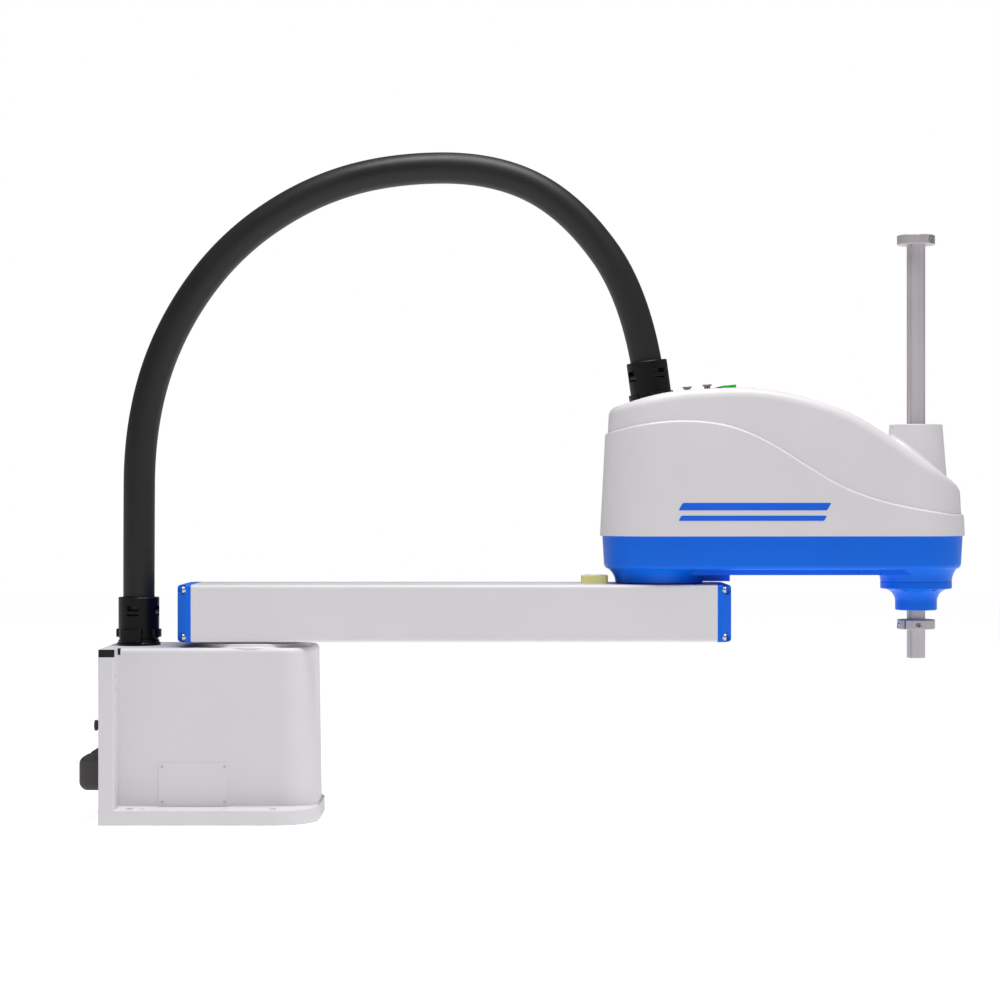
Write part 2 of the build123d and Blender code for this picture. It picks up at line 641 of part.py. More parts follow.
def conduit_fitting():
    """Straight conduit fitting, its top rim at z = 0: a sleeve with latch windows, two tall and
    two short grips round its foot, and a threaded stub."""
    body = turned((0, 0), (26.9, 0), (27.6, -0.8), (27.6, -54.4), (26.4, -55.4), (26.4, -57.6),
                  (27.8, -58.4), (27.8, -61.2), (0, -61.2))
    for turn, half, low, radius in ((265, 15.2, -60.0, 31.8), (85, 15.2, -60.0, 31.8),
                                    (355, 12.0, -54.0, 30.6), (175, 12.0, -54.0, 30.6)):
        grip = block(15, 40, -half, half, low, -43.2) & cyl(radius, low - 1, 0)
        corners = grip.edges().filter_by(Axis.Z).filter_by(lambda e: e.center().X > 20)
        body += Rot(0, 0, turn) * fillet(corners, 1.3)
    body += cyl(18.9, -75, -61.2)
    body -= cyl(FITTING_BORE_R, -SOCKET_DEPTH, 1)
    body -= cyl(14, -76, -29)
    for angle in (0, 90, 180, 270):
        window = block(20.5, 40, -8.2, 8.2, -25.0, -11.5)
        latch = block(22.0, 26.2, -8.6, 8.6, -23.4, -16.8)
        latch = fillet(latch.faces().sort_by(Axis.X)[-1].edges().filter_by(Axis.Y), 2.2)
        body -= Rot(0, 0, angle + 270) * window
        body += Rot(0, 0, angle + 270) * latch
    return body


def lock_ring():
    rim = turned((0, -61.2), (28.6, -61.2), (29.4, -62.0), (29.4, -65.3), (0, -65.3))
    return rim - cyl(19.1, -70, -60)


def pulley(radius, z0, x, bore, teeth):
    """Toothed pulley between two flanges."""
    body = cyl(radius, z0, z0 + PULLEY_HEIGHT, x)
    body += cyl(radius + 3, z0, z0 + 1.6, x) + cyl(radius + 3, z0 + PULLEY_HEIGHT - 1.6,
                                                  z0 + PULLEY_HEIGHT, x)
    pitch = 2 * math.pi * radius / teeth
    groove = block(radius - 1.2, radius + 0.5, -pitch * 0.25, pitch * 0.25,
                   z0 + 1.6, z0 + PULLEY_HEIGHT - 1.6)
    cutters = [Pos(x, 0, 0) * Rot(0, 0, 360 * i / teeth) * groove for i in range(teeth)]
    return body - cutters - cyl(bore, z0 - 1, z0 + PULLEY_HEIGHT + 1, x)


def belt(z0, motor_x):
    slack = 0.35
    low = z0 + 2.6
    width = PULLEY_HEIGHT - 5.2
    outer = hull_face(MOTOR_PULLEY_R + 2.4, NUT_PULLEY_R + 2.4, low, motor_x)
    inner = hull_face(MOTOR_PULLEY_R + slack, NUT_PULLEY_R + slack, low, motor_x)
    return extrude(outer, width) - extrude(inner, width)


def drive_plates():
    """Two aluminium plates on posts: one under the turning motor, one under the lifting motor."""
    low = block(684, 766, -37, 37, 368, 376)
    low = fillet(low.edges().filter_by(Axis.Z), 6) - cyl(12, 367, 377, R_MOTOR_X)
    high = extrude(hull_face(42, 50, 408, 797, TOOL_X), 8)
    high -= cyl(12, 407, 417, Z_MOTOR_X)
    high -= cyl(28, 407, 417, TOOL_X)
    return [low, high]


cover_outside = cover_form(0, 3.0, 13.5)

parts["arm2_body"] = arm2_body()
parts["arm2_cover"] = arm2_cover(cover_outside)
parts["nose_flange"] = nose_flange()
parts["nose_flange_screws"] = group(
    screw_ring(socket_screw(2.0, 22, 4.0, 4.0), 6, 40.5, NOSE_SEAT_Z, TOOL_X, down=True))
stop_block = block(600, 645.4, -15, 15, 318.9, PAD_BOTTOM)
stop_block = fillet(stop_block.edges().filter_by(Axis.Z), 2) - hub_outside()
parts["arm2_stop_block"] = stop_block
parts["j2_dust_seal"] = ring(58.0, 51.5, 316.1, HUB_BOTTOM, ELBOW_X)


# Second joint: the reducer stands in the hub with its motor on top

def j2_housing():
    solid = reducer_housing(TRAY_FLOOR, 62, 8, 366, 323.2, ELBOW_X)
    solid -= cyl(BEARING_R, 322, 350, ELBOW_X)
    solid -= cyl(28, 349, 360, ELBOW_X)
    for x, y in around(8, 56, ELBOW_X):
        solid -= cyl(2.5 + EASE, TRAY_FLOOR - 1, TRAY_FLOOR + 9, x, y)
    return solid


parts["j2_reducer_housing"] = j2_housing()
parts["j2_bearing"] = bearing_ring(BEARING_R - 0.02, HUB_R, 326, 341, ELBOW_X)
parts["j2_reducer_screws"] = group(
    screw_ring(socket_screw(2.4, 20, 4.2, 5.0), 8, 56, TRAY_FLOOR + 8, ELBOW_X))
parts["j2_motor"] = servo_motor(40, 366.2, 455, 36, 26, ELBOW_X, shaft_down=True)


# Tool shaft drives: one nut turns the shaft, the other lifts it

def nut(z0, z1, flange_z, outer):
    body = cyl(outer, z0, z1, TOOL_X) + cyl(outer + 6, flange_z, flange_z + 5, TOOL_X)
    return body - cyl(SHAFT_R + RUNNING, z0 - 1, z1 + 1, TOOL_X)


parts["spline_nut"] = nut(290.5, 372, 365, 16)
parts["spline_nut_pulley"] = pulley(NUT_PULLEY_R, R_BELT_Z, TOOL_X, 16.02, 40)
parts["spline_nut_bearings"] = group([
    bearing_ring(21.98, 16 + RUNNING, 291, 303, TOOL_X),
    bearing_ring(21.98, 16 + RUNNING, 330, 342, TOOL_X)])
parts["ball_nut"] = nut(379, 436, 379, 20)
parts["ball_nut_pulley"] = pulley(NUT_PULLEY_R, Z_BELT_Z, TOOL_X, 20.02, 40)
parts["ball_nut_bearing"] = bearing_ring(27.98, 20 + RUNNING, 406.5, 418.5, TOOL_X)
parts["drive_plates"] = group(drive_plates())
parts["turning_motor"] = servo_motor(30, 376, 452, 26, 20, R_MOTOR_X, shaft_down=True)
parts["lifting_motor"] = servo_motor(30, 416, 488, 26, 18, Z_MOTOR_X, shaft_down=True)
parts["turning_motor_pulley"] = pulley(MOTOR_PULLEY_R, R_BELT_Z, R_MOTOR_X, 5, 20) + cyl(
    5, R_BELT_Z, 375.7, R_MOTOR_X)
parts["lifting_motor_pulley"] = pulley(MOTOR_PULLEY_R, Z_BELT_Z, Z_MOTOR_X, 5, 20) + cyl(
    5, Z_BELT_Z, 415.7, Z_MOTOR_X)
parts["turning_belt"] = belt(R_BELT_Z, R_MOTOR_X)
parts["lifting_belt"] = belt(Z_BELT_Z, Z_MOTOR_X)


# Tool shaft with a clamp collar at each end

def tool_shaft():
    """Splined shaft, with a shallow relief groove under the lower collar's face."""
    shaft = cyl(SHAFT_R, SHAFT_LOW, SHAFT_HIGH, TOOL_X)
    shaft = chamfer(shaft.edges().filter_by(GeomType.CIRCLE), 0.8)
    shaft -= cyl(SHAFT_BORE_R, SHAFT_LOW - 1, SHAFT_HIGH + 1, TOOL_X)
    shaft -= ring(SHAFT_R + 1, SHAFT_R - 0.3, LOW_COLLAR_Z - 0.3, LOW_COLLAR_Z + 1, TOOL_X)
    for angle in (228.4, 348.4, 108.4):
        a = math.radians(angle)
        x, y = TOOL_X + 12.6 * math.cos(a), 12.6 * math.sin(a)
        shaft -= cyl(1.5, SHAFT_LOW - 1, SHAFT_HIGH + 1, x, y)
    return shaft


COLLAR_SCREW_X = 18.3       # how far the clamp screw lies from the shaft's axis


def clamp_collar():
    """Split collar about the Z axis, from z = 0, its slot towards +X and its screw along -Y."""
    collar = ring(COLLAR_R, SHAFT_R, 0, COLLAR_HEIGHT)
    collar = fillet(collar.edges().filter_by(GeomType.CIRCLE).filter_by(
        lambda e: e.radius > COLLAR_R - 1), 1.2)
    collar -= block(SHAFT_R - 2, COLLAR_R + 1, -1.2, 1.2, -1, COLLAR_HEIGHT + 1)
    collar -= Pos(COLLAR_SCREW_X, 0, COLLAR_HEIGHT / 2) * Rot(90, 0, 0) * cyl(2.1, -20, 20)
    collar -= Pos(COLLAR_SCREW_X, 0, COLLAR_HEIGHT / 2) * Rot(90, 0, 0) * cyl(5.2, 9.5, 30)
    collar -= Pos(COLLAR_SCREW_X, 0, COLLAR_HEIGHT / 2) * Rot(90, 0, 0) * cyl(2.8, -30, -13)
    return collar


def clamp_screw():
    screw = socket_screw(2.0, 26, 4.3, 4.2)
    return Pos(COLLAR_SCREW_X, -9.5, COLLAR_HEIGHT / 2) * Rot(90, 0, 0) * screw


high_collar_place = Pos(TOOL_X, 0, HIGH_COLLAR_Z)
low_collar_place = Pos(TOOL_X, 0, LOW_COLLAR_Z) * Rot(0, 0, 226)

parts["tool_shaft"] = tool_shaft()
parts["upper_collar"] = high_collar_place * clamp_collar()
parts["lower_collar"] = low_collar_place * clamp_collar()
parts["collar_screws"] = group([high_collar_place * clamp_screw(), low_collar_place * clamp_screw()])


# On top of the cover: two air fittings, a rocker and the cover's screws

def cover_air_fitting(x):
    """Capped air outlet through the cover's top, leaning with the slope there."""
    fitting = turned((0, 0), (6.5, 0), (6.5, 1.2), (4.4, 2.4), (4.0, 5.6), (6.3, 6.4), (6.5, 7.2),
                     (6.0, 8.2), (0, 8.2))
    fitting -= Rot(0, 0, 0) * block(-8, 8, -1.2, 1.2, 7.4, 9)
    placed = Pos(x, 0, AIR_SEAT[x]) * Rot(0, -4, 0) * fitting
    stem = cyl(4.0, 562, AIR_SEAT[x] + 1.5, x) - cover_outside
    inner = cyl(4.0, 562, 590, x) & cover_outside
    return placed - cover_outside + inner + stem


AIR_SEAT = {588.9: 575.0, 616.0: 578.0}
ROCKER_PIVOT = (645.0, 575.0)


def rocker():
    body = across(6.5, (635.2, 573), (635.2, 584.1), (654.2, 586.1), (654.8, 585.5), (653.4, 573))
    return body + rocker_pivot() * cyl(1.2, -7.8, 7.8)


def rocker_pivot():
    return Pos(ROCKER_PIVOT[0], 0, ROCKER_PIVOT[1]) * Rot(90, 0, 0)


def rocker_bezel():
    lip = block(624.6, 659.4, -10.5, 10.5, 570, 580.9)
    lip = fillet(lip.edges().filter_by(Axis.Z), 2)
    lip += across(8.5, (624.6, 578), (624.6, 581.2), (634.0, 583.5), (634.4, 583.2), (634.4, 578))
    skirt = block(ROCKER_X[0] + 0.3, ROCKER_X[1] - 0.3, -8.2, 8.2, 567, 580.5)
    bezel = lip - cover_outside + skirt - block(634.4, 656.0, -6.9, 6.9, 560, 590)
    return bezel - rocker_pivot() * cyl(1.2 + RUNNING, -9, 9)


def cover_screws():
    screw = button_screw(2.0, 14, 4.6, 2.2)
    return group(Pos(COVER_POST_X, side * COVER_POST_Y, COVER_SEAT_Z) * screw for side in (-1, 1))


def cover_posts():
    """Hexagonal standoffs that carry the cover."""
    post = extrude(RegularPolygon(5.5, 6), 574.9 - 372)
    hole = cyl(2.1, 190, 210)
    return group(Pos(COVER_POST_X, side * COVER_POST_Y, 372) * (post - hole) for side in (-1, 1))


parts["cover_air_fittings"] = group(cover_air_fitting(x) for x in AIR_XS)
parts["rocker_bezel"] = rocker_bezel()
parts["brake_release_rocker"] = rocker()
parts["cover_screws"] = cover_screws()
parts["cover_posts"] = cover_posts()


# Conduit between the base and the second arm

base_fitting_place = Pos(HOSE_X, 0, BODY_TOP + 65.3) * Rot(0, 0, -10)
arm_fitting_place = cover_pocket_axis(0, 0) * Rot(0, 0, 30)

parts["base_conduit_fitting"] = base_fitting_place * conduit_fitting()
parts["base_conduit_lock_ring"] = base_fitting_place * lock_ring()
parts["arm_conduit_fitting"] = arm_fitting_place * conduit_fitting()
parts["arm_conduit_lock_ring"] = arm_fitting_place * lock_ring()


def conduit_halves():
    points = [Vector(x, 0, z) for x, z in ROUTE]
    runs = [b - a for a, b in zip(points, points[1:])]
    radii = []
    for before, after in zip(runs, runs[1:]):
        half_turn = math.radians(before.get_angle(after)) / 2
        radii.append(0.45 * min(before.length, after.length) / math.tan(half_turn))
    print("conduit arc radii, mm:", [round(r) for r in radii])
    path = FilletPolyline(*points, radius=radii)
    start = Plane(origin=points[0], z_dir=runs[0])
    hose = sweep(start * Circle(HOSE_R), path=path)
    length = path.length
    print("conduit length, mm:", round(length, 1),
          "volume against section times length:",
          round(hose.volume / (math.pi * HOSE_R ** 2 * length), 5))
    base_half = split(hose, Plane(origin=(ROUTE_SPLIT_X, 0, 0), z_dir=(1, 0, 0)), keep=Keep.BOTTOM)
    arm_half = split(hose, Plane(origin=(ROUTE_SPLIT_X, 0, 0), z_dir=(1, 0, 0)), keep=Keep.TOP)
    return base_half, arm_half


parts["conduit_base_half"], parts["conduit_arm_half"] = conduit_halves()

os.makedirs("parts", exist_ok=True)
for name, shape in parts.items():
    export_step(shape, f"parts/{name}.step")
print(len(parts), "nodes written")
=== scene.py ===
import json
import math

import bpy
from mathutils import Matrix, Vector


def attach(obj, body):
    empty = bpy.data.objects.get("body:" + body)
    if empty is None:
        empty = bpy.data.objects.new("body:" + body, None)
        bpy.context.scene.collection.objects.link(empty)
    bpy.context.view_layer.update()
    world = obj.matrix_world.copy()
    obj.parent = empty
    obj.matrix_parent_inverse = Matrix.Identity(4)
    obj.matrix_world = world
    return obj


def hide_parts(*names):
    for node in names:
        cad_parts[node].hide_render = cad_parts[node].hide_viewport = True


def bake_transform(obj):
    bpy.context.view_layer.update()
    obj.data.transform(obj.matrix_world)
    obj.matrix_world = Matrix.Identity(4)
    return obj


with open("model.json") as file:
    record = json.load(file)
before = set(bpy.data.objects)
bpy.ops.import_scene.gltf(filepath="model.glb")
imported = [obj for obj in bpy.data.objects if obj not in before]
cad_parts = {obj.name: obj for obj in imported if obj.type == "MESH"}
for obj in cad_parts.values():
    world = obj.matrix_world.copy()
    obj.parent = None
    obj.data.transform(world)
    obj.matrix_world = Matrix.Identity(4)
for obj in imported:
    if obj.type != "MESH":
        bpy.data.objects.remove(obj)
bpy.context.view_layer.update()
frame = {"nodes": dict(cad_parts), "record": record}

scene = bpy.context.scene
nodes = frame["nodes"]


# ---------------------------------------------------------------- camera

SENSOR_WIDTH_MM = 36
LENS_MM = 90.9
CAMERA_PLACE = (0.3336, -3.438, 0.429)

camera_data = bpy.data.cameras.new("camera")
camera_data.sensor_width = SENSOR_WIDTH_MM
camera_data.lens = LENS_MM
camera = bpy.data.objects.new("camera", camera_data)
camera.location = CAMERA_PLACE
camera.rotation_euler = (math.radians(90), 0, 0)
scene.collection.objects.link(camera)
scene.camera = camera


# ---------------------------------------------------------------- mesh helpers

TUBE_SIDES = 40
SPLINE_RESOLUTION = 16


def mesh_object(name, vertices, faces, flat_faces):
    """A mesh object, smooth but for the faces listed by number."""
    mesh = bpy.data.meshes.new(name)
    mesh.from_pydata(vertices, [], faces)
    flat = set(flat_faces)
    for i, polygon in enumerate(mesh.polygons):
        polygon.use_smooth = i not in flat
    mesh.update()
    obj = bpy.data.objects.new(name, mesh)
    scene.collection.objects.link(obj)
    return obj


def directions(line):
    """The unit direction of a line at each of its points."""
    last = len(line) - 1
    return [(line[min(i + 1, last)] - line[max(i - 1, 0)]).normalized()
            for i in range(last + 1)]


def tube(name, line, along, radius):
    """A closed round tube along a line that lies in the XZ plane, its ends covered by flat discs."""
    vertices, faces = [], []
    for p, d in zip(line, along):
        out = Vector((d.z, 0, -d.x))
        for k in range(TUBE_SIDES):
            a = 2 * math.pi * k / TUBE_SIDES
            sideways = Vector((0, radius * math.sin(a), 0))
            vertices.append(p + out * (radius * math.cos(a)) + sideways)
    for i in range(len(line) - 1):
        for k in range(TUBE_SIDES):
            a = i * TUBE_SIDES + k
            b = i * TUBE_SIDES + (k + 1) % TUBE_SIDES
            faces.append((a, b, b + TUBE_SIDES, a + TUBE_SIDES))
    first_disc = len(vertices)
    last_disc = first_disc + TUBE_SIDES
    vertices += vertices[:TUBE_SIDES] + vertices[-TUBE_SIDES:]
    faces.append(tuple(reversed(range(first_disc, last_disc))))
    faces.append(tuple(range(last_disc, last_disc + TUBE_SIDES)))
    return mesh_object(name, vertices, faces, (len(faces) - 2, len(faces) - 1))


def spline_line(name, points):
    """Points read from a NURBS spline that has the given control points."""
    curve = bpy.data.curves.new(name, "CURVE")
    curve.dimensions = "3D"
    spline = curve.splines.new("NURBS")
    spline.points.add(len(points) - 1)
    for p, co in zip(spline.points, points):
        p.co = (*co, 1)
    spline.order_u = 3
    spline.use_endpoint_u = True
    spline.resolution_u = SPLINE_RESOLUTION
    obj = bpy.data.objects.new(name, curve)
    scene.collection.objects.link(obj)
    mesh = bpy.data.meshes.new_from_object(obj)
    line = [v.co.copy() for v in mesh.vertices]
    bpy.data.meshes.remove(mesh)
    bpy.data.objects.remove(obj)
    bpy.data.curves.remove(curve)
    return line


# ---------------------------------------------------------------- conduit

CONDUIT_DIAMETER = 0.0425
CONDUIT_SPLIT_X = 0.245
CONDUIT_ROUTE = [
    (-0.158, 0, 0.267), (-0.158, 0, 0.378), (-0.157, 0, 0.526), (-0.121, 0, 0.652),
    (-0.045, 0, 0.765), (0.060, 0, 0.842), (0.177, 0, 0.880), (0.325, 0, 0.882),
    (0.432, 0, 0.828), (0.52128, 0, 0.70248), (0.53722, 0, 0.58758),
]

line = spline_line("conduit_line", CONDUIT_ROUTE)
cut = next(i for i, p in enumerate(line) if p.x > CONDUIT_SPLIT_X)
share = (CONDUIT_SPLIT_X - line[cut - 1].x) / (line[cut].x - line[cut - 1].x)
middle = line[cut - 1].lerp(line[cut], share)
along = directions(line)
along_middle = along[cut - 1].lerp(along[cut], share).normalized()
base_line, base_along = line[:cut] + [middle], along[:cut] + [along_middle]
arm_line = list(reversed([middle] + line[cut:]))
arm_along = [-d for d in reversed([along_middle] + along[cut:])]

conduit_base = tube("conduit_tube_base_half", base_line, base_along, CONDUIT_DIAMETER / 2)
conduit_arm = tube("conduit_tube_arm_half", arm_line, arm_along, CONDUIT_DIAMETER / 2)
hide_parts("conduit_base_half")
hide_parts("conduit_arm_half")
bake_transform(conduit_base)
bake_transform(conduit_arm)


# ---------------------------------------------------------------- materials

def linear(r, g, b):
    """Linear colour from 8-bit display values."""
    def one(c):
        c /= 255
        return c / 12.92 if c <= 0.04045 else ((c + 0.055) / 1.055) ** 2.4
    return (one(r), one(g), one(b), 1.0)


def scaled(colour, k):
    return tuple(min(1.0, c * k) for c in colour[:3]) + (1.0,)


ROUGH_SWING = 0.06
NOISE_ROUGHNESS = 0.6
BEVEL_SAMPLES = 4
EDGE_SHARE = 0.6


def surface(name, colour, rough=0.45, metal=0.0, specular=0.5, cloud=0.05, cloud_scale=9,
            grain=900, grain_height=0.00004, ripple=0, ripple_height=0.0, stretch=(1, 1, 1),
            edge=0.0006, edge_gain=0.12):
    """A procedural finish: clouded colour, uneven roughness, fine grain, soft and lighter edges.

    cloud is the share that the colour varies by, ripple the scale of a coarser wave such as
    orange peel, stretch scales the grain's axes, which draws it out into brush marks, and edge
    is the width in metres over which an edge is softened, 0 for a finish without soft edges."""
    material = bpy.data.materials.new(name)
    material.use_nodes = True
    tree = material.node_tree
    new, link = tree.nodes.new, tree.links.new
    shader = tree.nodes["Principled BSDF"]
    shader.inputs["Metallic"].default_value = metal
    shader.inputs["Specular IOR Level"].default_value = specular

    where = new("ShaderNodeTexCoord")
    drawn = new("ShaderNodeMapping")
    drawn.inputs["Scale"].default_value = stretch
    link(where.outputs["Object"], drawn.inputs["Vector"])

    def noise(scale, detail, vector):
        n = new("ShaderNodeTexNoise")
        n.inputs["Scale"].default_value = scale
        n.inputs["Detail"].default_value = detail
        n.inputs["Roughness"].default_value = NOISE_ROUGHNESS
        link(vector, n.inputs["Vector"])
        return n.outputs["Fac"]

    def mix(a, b, factor):
        m = new("ShaderNodeMix")
        m.data_type = "RGBA"
        m.clamp_factor = True
        for socket, value in ((m.inputs[6], a), (m.inputs[7], b)):
            if isinstance(value, tuple):
                socket.default_value = value
            else:
                link(value, socket)
        link(factor, m.inputs[0])
        return m.outputs[2]

    def spread(value, low, high, out_low, out_high):
        r = new("ShaderNodeMapRange")
        r.inputs["From Min"].default_value = low
        r.inputs["From Max"].default_value = high
        r.inputs["To Min"].default_value = out_low
        r.inputs["To Max"].default_value = out_high
        link(value, r.inputs["Value"])
        return r.outputs["Result"]

    clouds = noise(cloud_scale, 4, where.outputs["Object"])
    fine = noise(grain, 2, drawn.outputs["Vector"])
    tone = mix(scaled(colour, 1 - cloud), scaled(colour, 1 + cloud),
               spread(clouds, 0.3, 0.7, 0, 1))
    tone = mix(tone, scaled(colour, 1 - 1.5 * cloud), spread(fine, 0.5, 0.8, 0, 0.5))

    bevel = None
    if edge:
        bevel = new("ShaderNodeBevel")
        bevel.samples = BEVEL_SAMPLES
        bevel.inputs["Radius"].default_value = edge
        flat = new("ShaderNodeNewGeometry")
        dot = new("ShaderNodeVectorMath")
        dot.operation = "DOT_PRODUCT"
        link(bevel.outputs["Normal"], dot.inputs[0])
        link(flat.outputs["Normal"], dot.inputs[1])
        tone = mix(tone, scaled(colour, 1 + edge_gain * 4),
                   spread(dot.outputs["Value"], 0.98, 0.75, 0, EDGE_SHARE))
    link(tone, shader.inputs["Base Color"])

    swing = spread(clouds, 0.3, 0.7, rough - ROUGH_SWING, rough + ROUGH_SWING)
    add = new("ShaderNodeMath")
    add.operation = "MULTIPLY_ADD"
    link(fine, add.inputs[0])
    add.inputs[1].default_value = ROUGH_SWING
    link(swing, add.inputs[2])
    link(add.outputs["Value"], shader.inputs["Roughness"])

    bump = new("ShaderNodeBump")
    bump.inputs["Distance"].default_value = grain_height
    bump.inputs["Strength"].default_value = 1.0
    link(fine, bump.inputs["Height"])
    if bevel:
        link(bevel.outputs["Normal"], bump.inputs["Normal"])
    if ripple:
        wave = new("ShaderNodeBump")
        wave.inputs["Distance"].default_value = ripple_height
        link(noise(ripple, 2, where.outputs["Object"]), wave.inputs["Height"])
        link(bump.outputs["Normal"], wave.inputs["Normal"])
        bump = wave
    link(bump.outputs["Normal"], shader.inputs["Normal"])
    return material


GREY = linear(223, 220, 224)
COVER = linear(219, 215, 219)
BLUE = linear(2, 106, 232)

finishes = {
    "grey_paint": surface(
        "grey_paint_finish", GREY, rough=0.42, cloud=0.02, ripple=330, ripple_height=0.00006,
        grain=1400, grain_height=0.00001, edge=0.0012, specular=0.4),
    "beam_paint": surface(
        "beam_paint_finish", GREY, rough=0.36, cloud=0.018, ripple=420, ripple_height=0.00004,
        grain=1500, grain_height=0.00001, edge=0.001, specular=0.45),
    "cover_grey": surface(
        "cover_shell_finish", COVER, rough=0.4, cloud=0.015, ripple=600, ripple_height=0.00003,
        grain=2200, grain_height=0.00001, edge=0.0008, specular=0.45),
    "blue_paint": surface(
        "blue_paint_finish", BLUE, rough=0.34, cloud=0.05, ripple=380, ripple_height=0.00004,
        grain=1500, grain_height=0.00001, edge=0.0009, edge_gain=0.06, specular=0.2),
    "black_plastic": surface(
        "black_plastic_finish", linear(17, 16, 18), rough=0.4, cloud=0.12, grain=2600,
        grain_height=0.00002, edge=0.0008, edge_gain=0.2, specular=0.3),
    "fitting_black": surface(
        "fitting_black_finish", linear(9, 9, 10), rough=0.34, cloud=0.12, grain=2400,
        grain_height=0.00003, edge=0.0006, edge_gain=0.3, specular=0.22),
    "plate_foil": surface(
        "plate_foil_finish", linear(222, 219, 222), rough=0.36, metal=0.15, cloud=0.02, grain=500,
        stretch=(0.05, 1, 8), grain_height=0.00001, edge=0.0003),
    "steel": surface(
        "steel_finish", linear(190, 190, 192), rough=0.3, metal=1.0, cloud=0.05, grain=900,
        stretch=(6, 6, 0.3), grain_height=0.00001, edge=0.0003),
    "panel_steel": surface(
        "panel_steel_finish", linear(186, 186, 190), rough=0.36, metal=1.0, cloud=0.05, grain=700,
        stretch=(1, 0.05, 6), grain_height=0.00001, edge=0.0004),
    "hood_grey": surface(
        "hood_grey_finish", linear(70, 67, 69), rough=0.5, cloud=0.06, grain=1800,
        grain_height=0.00004, edge=0.0008, edge_gain=0.15, specular=0.3),
    "fitting_grey": surface(
        "fitting_grey_finish", linear(130, 128, 130), rough=0.4, cloud=0.04, grain=1500,
        grain_height=0.00002, edge=0.0004),
    "motor_case": surface(
        "motor_case_finish", linear(38, 38, 40), rough=0.45, metal=0.2, cloud=0.1, ripple=900,
        ripple_height=0.00004, edge=0.0006),
    "machined_steel": surface(
        "machined_steel_finish", linear(170, 170, 172), rough=0.26, metal=1.0, cloud=0.04,
        grain=1300, stretch=(1, 1, 12), grain_height=0.000008, edge=0.0005),
    "bearing_steel": surface(
        "bearing_steel_finish", linear(200, 200, 203), rough=0.16, metal=1.0, cloud=0.03,
        grain=1600, stretch=(1, 1, 14), grain_height=0.000005, edge=0.0004),
    "black_screws": surface(
        "black_screws_finish", linear(40, 40, 43), rough=0.38, metal=0.6, cloud=0.12, grain=1500,
        grain_height=0.00001, edge=0.0003),
    "conduit_black": surface(
        "conduit_black_finish", linear(27, 27, 28), rough=0.44, cloud=0.08, cloud_scale=14,
        grain=1500, grain_height=0.00005, edge=0, specular=0.35),
    "bumper_yellow": surface(
        "bumper_yellow_finish", linear(244, 238, 158), rough=0.55, cloud=0.05, grain=1400,
        grain_height=0.00004, edge=0.0008, specular=0.3),
    "seal_red": surface(
        "seal_red_finish", linear(120, 18, 40), rough=0.6, cloud=0.1, grain=1800, edge=0.0004,
        specular=0.3),
    "plate_aluminium": surface(
        "plate_aluminium_finish", linear(190, 191, 193), rough=0.3, metal=1.0, cloud=0.04,
        grain=900, stretch=(0.2, 4, 1), grain_height=0.00001, edge=0.0005),
    "belt_rubber": surface(
        "belt_rubber_finish", linear(28, 28, 28), rough=0.7, cloud=0.1, grain=1200,
        grain_height=0.00006, edge=0),
    "rocker_green": surface(
        "rocker_green_finish", linear(30, 214, 24), rough=0.25, cloud=0.05, grain=1500,
        grain_height=0.00001, edge=0.0006, specular=0.5),
    "shaft_steel": surface(
        "shaft_steel_finish", linear(200, 194, 198), rough=0.36, metal=0.45, cloud=0.03, grain=700,
        stretch=(9, 9, 0.4), grain_height=0.00001, edge=0.0003),
    "collar_steel": surface(
        "collar_steel_finish", linear(188, 182, 187), rough=0.36, metal=0.45, cloud=0.04, grain=900,
        stretch=(1, 1, 10), grain_height=0.00001, edge=0.0005),
    "stripe_blue": surface(
        "stripe_blue_finish", linear(6, 98, 226), rough=0.4, cloud=0.03, grain=1800,
        grain_height=0.00001, edge=0, specular=0.35),
}


def dress(obj, finish):
    """Give every face of a piece one finish."""
    if obj.material_slots:
        for slot in obj.material_slots:
            slot.material = finishes[finish]
    else:
        obj.data.materials.append(finishes[finish])


own_finish = {
    "arm1_beam": "beam_paint",
    "base_conduit_fitting": "fitting_black",
    "base_conduit_lock_ring": "fitting_black",
    "arm_conduit_fitting": "fitting_black",
    "arm_conduit_lock_ring": "fitting_black",
}
for part in frame["record"]["subparts"]:
    dress(nodes[part["node"]], own_finish.get(part["node"], part["material_slot"]))
dress(conduit_base, "conduit_black")
dress(conduit_arm, "conduit_black")


# ---------------------------------------------------------------- stripes on the second arm's cover

ELBOW_X = 0.55
SIDE_DISTANCE, SIDE_START_Z = 0.0803, 0.3805
DRAFT = math.tan(math.radians(3))
LEAN_X = 0.04229
LEAN_Y = math.sqrt(1 - LEAN_X ** 2)

STRIPE_START_X = 0.571
STRIPE_CORNER = 0.0022
STRIPE_THICK = 0.0003
STRIPE_SHOULDER = STRIPE_THICK - 0.00012
STRIPE_RIM = 0.0004
CORNER_STEPS = 8


def on_cover(x, z, side, proud):
    """A point over the cover's flat side: side is -1 for the near one and 1 for the far one."""
    distance = SIDE_DISTANCE - (z - SIDE_START_Z) * DRAFT
    y = (distance - (x - ELBOW_X) * LEAN_X) / LEAN_Y
    return Vector((x, side * (y + proud), z))


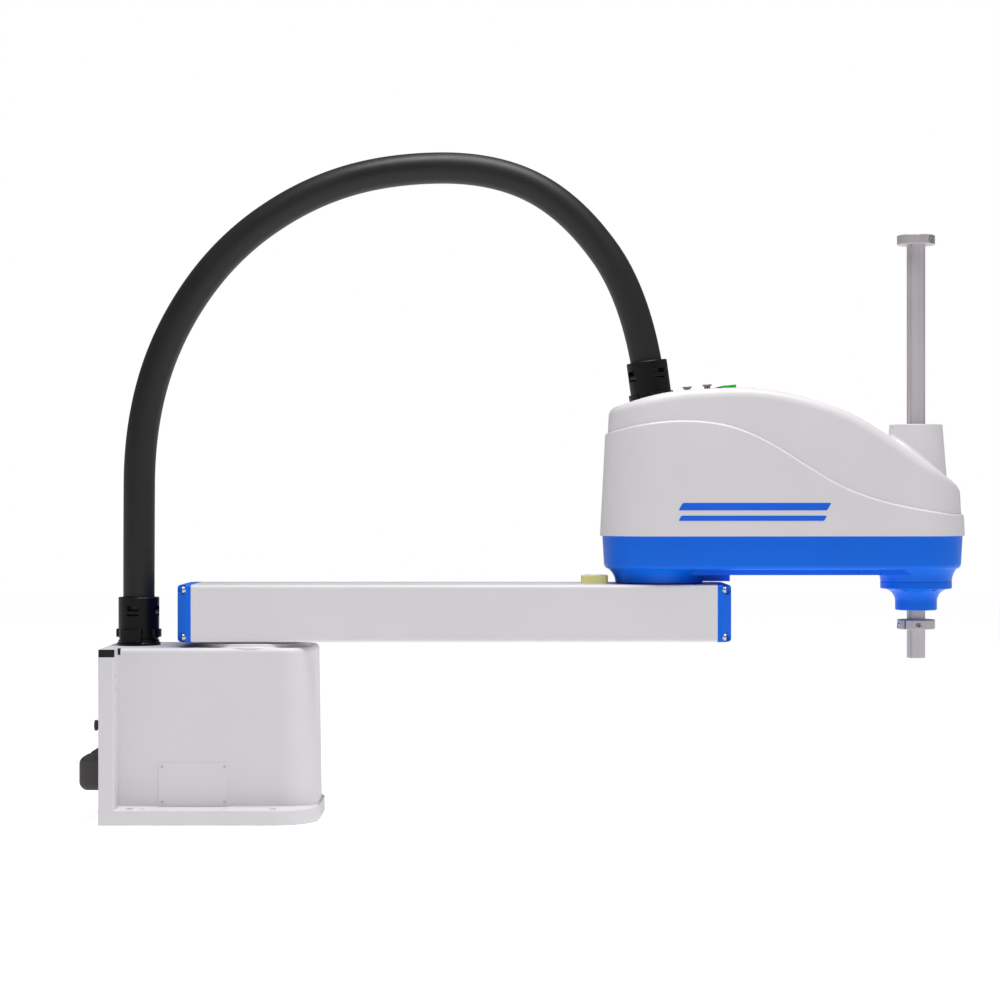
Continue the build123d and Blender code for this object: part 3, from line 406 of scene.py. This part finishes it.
def stripe(name, end_x, z0, z1, side, slant):
    """A raised band with rounded corners and both ends leaning, laid on the cover's side."""
    corners = [(STRIPE_START_X, z0), (end_x - slant, z0), (end_x, z1), (STRIPE_START_X + slant, z1)]
    outline = []
    for i, (x, z) in enumerate(corners):
        here = Vector((x, z))
        back = (Vector(corners[i - 1]) - here).normalized()
        ahead = (Vector(corners[(i + 1) % 4]) - here).normalized()
        for k in range(CORNER_STEPS + 1):
            t = k / CORNER_STEPS
            p = here + back * (STRIPE_CORNER * (1 - t) ** 2) + ahead * (STRIPE_CORNER * t ** 2)
            outline.append((p.x, p.y))
    n = len(outline)
    middle_x = sum(x for x, z in outline) / n
    middle_z = sum(z for x, z in outline) / n

    def ring(shrink, proud):
        points = []
        for x, z in outline:
            x += -shrink if x > middle_x else shrink
            z += -shrink if z > middle_z else shrink
            points.append(on_cover(x, z, side, proud))
        return points

    vertices = ring(0, -STRIPE_THICK) + ring(0, STRIPE_SHOULDER) + ring(STRIPE_RIM, STRIPE_THICK)
    faces = []
    for level in (0, 1):
        for k in range(n):
            a, b = level * n + k, level * n + (k + 1) % n
            faces.append((a, b, b + n, a + n))
    faces.append(tuple(range(2 * n, 3 * n)))
    faces.append(tuple(reversed(range(n))))
    if side > 0:
        faces = [tuple(reversed(f)) for f in faces]
    obj = mesh_object(name, vertices, faces, range(len(faces)))
    dress(obj, "stripe_blue")
    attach(obj, "arm2")


for side, word in ((-1, "near"), (1, "far")):
    stripe(f"cover_stripe_upper_{word}", 0.776, 0.4152, 0.4252, side, slant=0.006)
    stripe(f"cover_stripe_lower_{word}", 0.770, 0.4012, 0.4082, side, slant=0.004)


# ---------------------------------------------------------------- floor and light

FLOOR_HALF = 8
FLOOR_Z = -0.0005
AMBIENT = 0.22


def area_light(name, place, target, width, height, power):
    data = bpy.data.lights.new(name, "AREA")
    data.shape = "RECTANGLE"
    data.size, data.size_y = width, height
    data.energy = power
    obj = bpy.data.objects.new(name, data)
    obj.location = place
    obj.rotation_euler = (Vector(target) - Vector(place)).to_track_quat("-Z", "Y").to_euler()
    scene.collection.objects.link(obj)


floor_mesh = bpy.data.meshes.new("floor")
floor_corners = [(x * FLOOR_HALF, y * FLOOR_HALF, FLOOR_Z)
                 for x, y in ((-1, -1), (1, -1), (1, 1), (-1, 1))]
floor_mesh.from_pydata(floor_corners, [], [(0, 1, 2, 3)])
floor = bpy.data.objects.new("floor", floor_mesh)
scene.collection.objects.link(floor)
floor_finish = bpy.data.materials.new("floor_finish")
floor_finish.use_nodes = True
floor_shader = floor_finish.node_tree.nodes["Principled BSDF"]
floor_shader.inputs["Base Color"].default_value = (0.35, 0.35, 0.35, 1)
floor_shader.inputs["Roughness"].default_value = 0.9
floor_shader.inputs["Specular IOR Level"].default_value = 0.1
floor_shader.inputs["Emission Color"].default_value = (1, 1, 1, 1)
floor_shader.inputs["Emission Strength"].default_value = 0.9
floor_mesh.materials.append(floor_finish)

world = bpy.data.worlds.new("studio")
world.use_nodes = True
sky = world.node_tree
backdrop = sky.nodes["Background"]
backdrop.inputs["Color"].default_value = (1.0, 1.0, 1.0, 1)
backdrop.inputs["Strength"].default_value = 1.0
ambient = sky.nodes.new("ShaderNodeBackground")
ambient.inputs["Color"].default_value = (1.0, 1.0, 1.0, 1)
ambient.inputs["Strength"].default_value = AMBIENT
seen = sky.nodes.new("ShaderNodeLightPath")
either = sky.nodes.new("ShaderNodeMixShader")
sky.links.new(seen.outputs["Is Camera Ray"], either.inputs[0])
sky.links.new(ambient.outputs[0], either.inputs[1])
sky.links.new(backdrop.outputs[0], either.inputs[2])
sky.links.new(either.outputs[0], sky.nodes["World Output"].inputs["Surface"])
scene.world = world
scene.view_settings.view_transform = "Standard"

area_light("overhead", (0.55, -0.4, 3.05), (0.4, 0, 0.2), 1.8, 1.0, 84)
area_light("front_fill", (0.8, -4.2, 1.9), (0.35, 0, 0.3), 3.0, 1.6, 3)
area_light("right_fill", (4.2, -1.2, 1.4), (0.4, 0, 0.4), 1.8, 2.2, 5)
